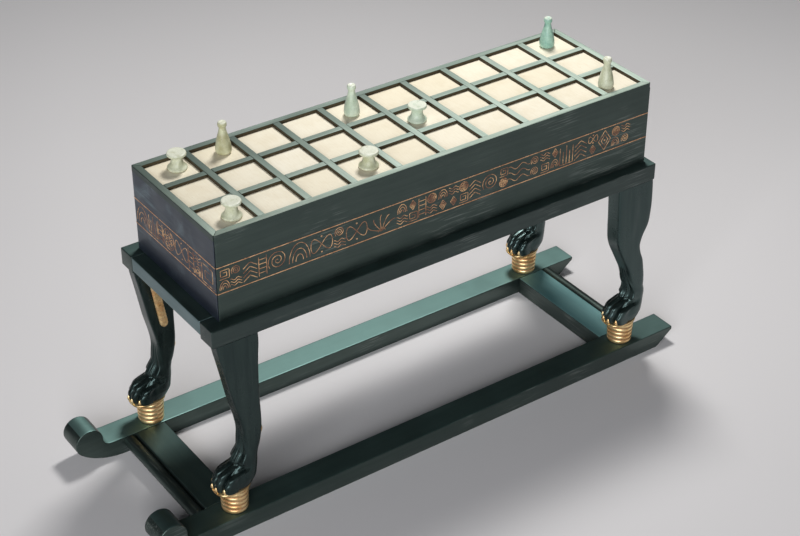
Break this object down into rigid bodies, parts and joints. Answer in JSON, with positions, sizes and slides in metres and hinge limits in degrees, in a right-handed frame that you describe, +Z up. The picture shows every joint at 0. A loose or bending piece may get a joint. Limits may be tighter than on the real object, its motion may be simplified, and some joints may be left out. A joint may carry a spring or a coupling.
{
  "type": "senet board",
  "caption": "Games box with a grid of ivory squares and a drawer, on a lion-legged bed frame with gilded drums and a curled sledge, with cone and reel playing pieces.",
  "frame": {"origin": "middle of the sledge, on the floor", "axes": "+X from the curled head of the sledge to its tail, where the drawer opens, +Y to the back, +Z up"},
  "size_m": [0.5784, 0.182, 0.3187],
  "materials": {
    "ebony": "polished black wood",
    "ivory": "matte ivory",
    "gilt": "gilded wood",
    "cedar": "plain reddish wood",
    "pale_faience": "pale glaze",
    "green_faience": "green glaze",
    "blue_faience": "blue-green glaze"
  },
  "bodies": {
    "stand": {"runner_front": "ebony", "runner_back": "ebony", "cross_board_head": "ebony", "cross_board_tail": "ebony", "cross_rod_head": "ebony", "cross_rod_tail": "ebony", "side_rail_front": "ebony", "side_rail_back": "ebony", "end_rail_head": "ebony", "end_rail_tail": "ebony", "foreleg_front": "ebony", "foreleg_back": "ebony", "hindleg_front": "ebony", "hindleg_back": "ebony", "sole_plate_foreleg_front": "gilt", "sole_plate_foreleg_back": "gilt", "sole_plate_hindleg_front": "gilt", "sole_plate_hindleg_back": "gilt", "brace_foreleg_front": "gilt", "brace_foreleg_back": "gilt", "brace_hindleg_front": "gilt", "brace_hindleg_back": "gilt", "drum_foreleg_front": "gilt", "drum_foreleg_back": "gilt", "drum_hindleg_front": "gilt", "drum_hindleg_back": "gilt", "dewclaw_front": "gilt", "dewclaw_back": "gilt"},
    "box": {"box_side_front": "ebony", "box_side_back": "ebony", "box_end_head": "ebony", "box_bottom_board": "ebony", "box_top_board": "ebony", "lattice": "ebony", "ivory_strip_01": "ivory", "ivory_strip_02": "ivory", "ivory_strip_03": "ivory", "ivory_strip_04": "ivory", "ivory_strip_05": "ivory", "ivory_strip_06": "ivory", "ivory_strip_07": "ivory", "ivory_strip_08": "ivory", "ivory_strip_09": "ivory", "ivory_strip_10": "ivory"},
    "drawer": {"drawer_front": "ebony", "drawer_floor": "cedar", "drawer_side_front": "cedar", "drawer_side_back": "cedar", "drawer_back": "cedar", "drawer_knob": "ivory"},
    "spool_1": {"spool_1": "pale_faience"},
    "spool_2": {"spool_2": "pale_faience"},
    "spool_3": {"spool_3": "pale_faience"},
    "spool_4": {"spool_4": "green_faience"},
    "cone_1": {"cone_1": "pale_faience"},
    "cone_2": {"cone_2": "green_faience"},
    "cone_3": {"cone_3": "blue_faience"},
    "cone_4": {"cone_4": "pale_faience"}
  },
  "joints": [
    {"name": "box_lift", "type": "slide", "parent": "stand", "child": "box", "axis": [0, 0, 1], "range_m": [0, 0.15]},
    {"name": "drawer_slide", "type": "slide", "parent": "box", "child": "drawer", "axis": [1, 0, 0], "range_m": [0, 0.3]},
    {"name": "spool_1_lift", "type": "slide", "parent": "box", "child": "spool_1", "axis": [0, 0, 1], "range_m": [0, 0.06]},
    {"name": "spool_2_lift", "type": "slide", "parent": "box", "child": "spool_2", "axis": [0, 0, 1], "range_m": [0, 0.06]},
    {"name": "spool_3_lift", "type": "slide", "parent": "box", "child": "spool_3", "axis": [0, 0, 1], "range_m": [0, 0.06]},
    {"name": "spool_4_lift", "type": "slide", "parent": "box", "child": "spool_4", "axis": [0, 0, 1], "range_m": [0, 0.06]},
    {"name": "cone_1_lift", "type": "slide", "parent": "box", "child": "cone_1", "axis": [0, 0, 1], "range_m": [0, 0.06]},
    {"name": "cone_2_lift", "type": "slide", "parent": "box", "child": "cone_2", "axis": [0, 0, 1], "range_m": [0, 0.06]},
    {"name": "cone_3_lift", "type": "slide", "parent": "box", "child": "cone_3", "axis": [0, 0, 1], "range_m": [0, 0.06]},
    {"name": "cone_4_lift", "type": "slide", "parent": "box", "child": "cone_4", "axis": [0, 0, 1], "range_m": [0, 0.06]}
  ]
}
